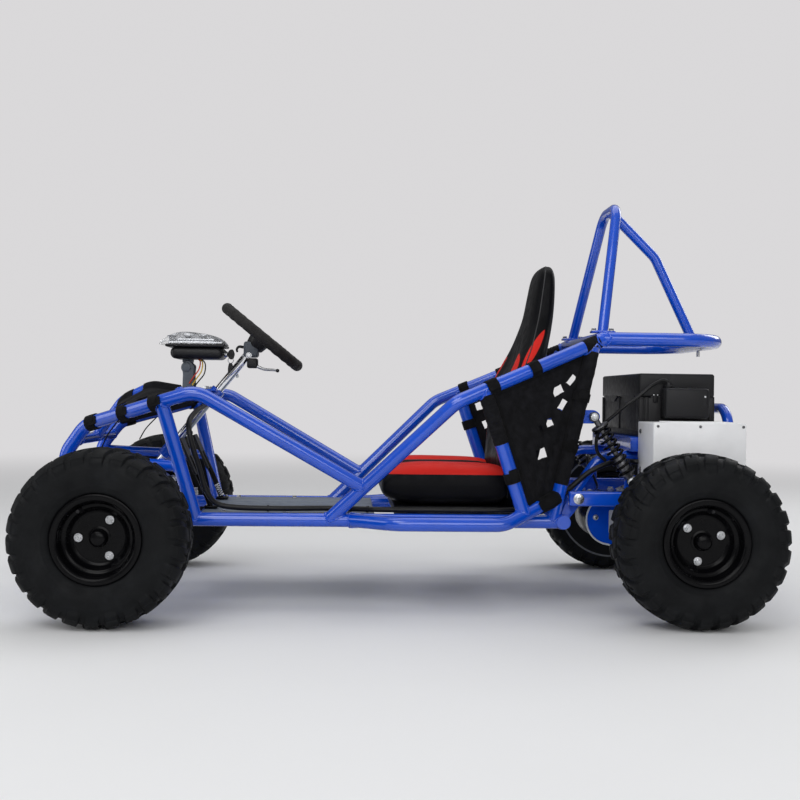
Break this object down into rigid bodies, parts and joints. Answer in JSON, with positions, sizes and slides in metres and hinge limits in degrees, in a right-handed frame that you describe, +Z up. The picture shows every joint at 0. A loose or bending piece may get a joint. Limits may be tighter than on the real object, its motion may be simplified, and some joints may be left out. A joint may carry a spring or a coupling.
{
  "type": "electric go-kart",
  "caption": "Off-road electric go-kart: welded tube frame with roll bar, padded seat, steered front wheels, live rear axle, battery box and controller.",
  "frame": {"origin": "on the ground, half way between the axles, on the centre line", "axes": "+X to the rear, +Y to the driver's right, +Z up"},
  "size_m": [1.45, 0.9, 0.861],
  "materials": {
    "blue_paint": "gloss powder coat",
    "black_paint": "gloss",
    "white_paint": "satin",
    "floor_steel": "satin",
    "bright_steel": "zinc plated",
    "chrome_steel": "polished",
    "tyre_rubber": "matte",
    "black_plastic": "moulded",
    "seat_vinyl": "synthetic leather with red panels",
    "net_fabric": "woven",
    "clear_lens": "clear"
  },
  "bodies": {
    "chassis": {"lower_rail_left": "blue_paint", "lower_rail_right": "blue_paint", "rear_hoop": "blue_paint", "side_rail_left": "blue_paint", "side_rail_right": "blue_paint", "upper_rail_left": "blue_paint", "upper_rail_right": "blue_paint", "rear_strut_left": "blue_paint", "rear_strut_right": "blue_paint", "outer_bar_left": "blue_paint", "outer_bar_right": "blue_paint", "seat_strut_left": "blue_paint", "seat_strut_right": "blue_paint", "front_strut_left": "blue_paint", "front_strut_right": "blue_paint", "bumper_bar": "blue_paint", "dash_bar": "blue_paint", "hood_tube": "blue_paint", "steering_support": "blue_paint", "roll_bar": "blue_paint", "roll_brace": "blue_paint", "rear_cross": "blue_paint", "rear_carrier": "blue_paint", "front_axle": "blue_paint", "swing_arm": "blue_paint", "battery_tray": "blue_paint", "chain_guard": "blue_paint", "floor_pan": "floor_steel", "seat_frame": "black_paint", "shock_left": "black_paint", "shock_right": "black_paint", "motor": "black_paint", "battery_box": "black_plastic", "junction_box": "black_plastic", "controller_box": "white_paint", "seat_cushion": "seat_vinyl", "seat_back": "seat_vinyl", "lamp_housing": "black_plastic", "lamp_lens": "clear_lens", "side_net_left": "net_fabric", "side_net_right": "net_fabric", "front_net": "net_fabric", "pedal_left": "black_paint", "pedal_right": "black_paint", "wiring_harness": "black_plastic"},
    "steering": {"steering_column": "chrome_steel", "steering_wheel": "black_plastic"},
    "left_knuckle": {"knuckle_left": "bright_steel"},
    "right_knuckle": {"knuckle_right": "bright_steel"},
    "left_tie_rod": {"tie_rod_left": "bright_steel"},
    "right_tie_rod": {"tie_rod_right": "bright_steel"},
    "front_left_wheel": {"rim_front_left": "black_paint", "tyre_front_left": "tyre_rubber"},
    "front_right_wheel": {"rim_front_right": "black_paint", "tyre_front_right": "tyre_rubber"},
    "rear_wheels": {"rear_axle": "bright_steel", "rim_rear_left": "black_paint", "tyre_rear_left": "tyre_rubber", "rim_rear_right": "black_paint", "tyre_rear_right": "tyre_rubber"}
  },
  "joints": [
    {"name": "left_steer", "type": "hinge", "parent": "chassis", "child": "left_knuckle", "pos_m": [-0.56, -0.3, 0.157], "axis": [0, 0, 1], "range_deg": [-25, 25]},
    {"name": "right_steer", "type": "hinge", "parent": "chassis", "child": "right_knuckle", "pos_m": [-0.56, 0.3, 0.157], "axis": [0, 0, 1], "range_deg": [-25, 25]},
    {"name": "column_turn", "type": "hinge", "parent": "chassis", "child": "steering", "pos_m": [-0.518, 0, 0.283], "axis": [0.6252, 0, 0.7804], "range_deg": [-40, 40]},
    {"name": "left_rod_pivot", "type": "hinge", "parent": "left_knuckle", "child": "left_tie_rod", "pos_m": [-0.48, -0.286, 0.18], "axis": [0, 0, 1], "range_deg": [-25, 25]},
    {"name": "right_rod_pivot", "type": "hinge", "parent": "right_knuckle", "child": "right_tie_rod", "pos_m": [-0.48, 0.286, 0.18], "axis": [0, 0, 1], "range_deg": [-25, 25]},
    {"name": "front_left_roll", "type": "hinge", "parent": "left_knuckle", "child": "front_left_wheel", "pos_m": [-0.56, -0.385, 0.165], "axis": [0, 1, 0], "continuous": true},
    {"name": "front_right_roll", "type": "hinge", "parent": "right_knuckle", "child": "front_right_wheel", "pos_m": [-0.56, 0.385, 0.165], "axis": [0, 1, 0], "continuous": true},
    {"name": "rear_roll", "type": "hinge", "parent": "chassis", "child": "rear_wheels", "pos_m": [0.56, 0, 0.165], "axis": [0, 1, 0], "continuous": true}
  ],
  "couplings": [
    {"joint": "right_steer", "follows": "left_steer", "ratio": 1},
    {"joint": "column_turn", "follows": "left_steer", "ratio": 1.6},
    {"joint": "left_rod_pivot", "follows": "left_steer", "ratio": -1},
    {"joint": "right_rod_pivot", "follows": "left_steer", "ratio": -1}
  ]
}
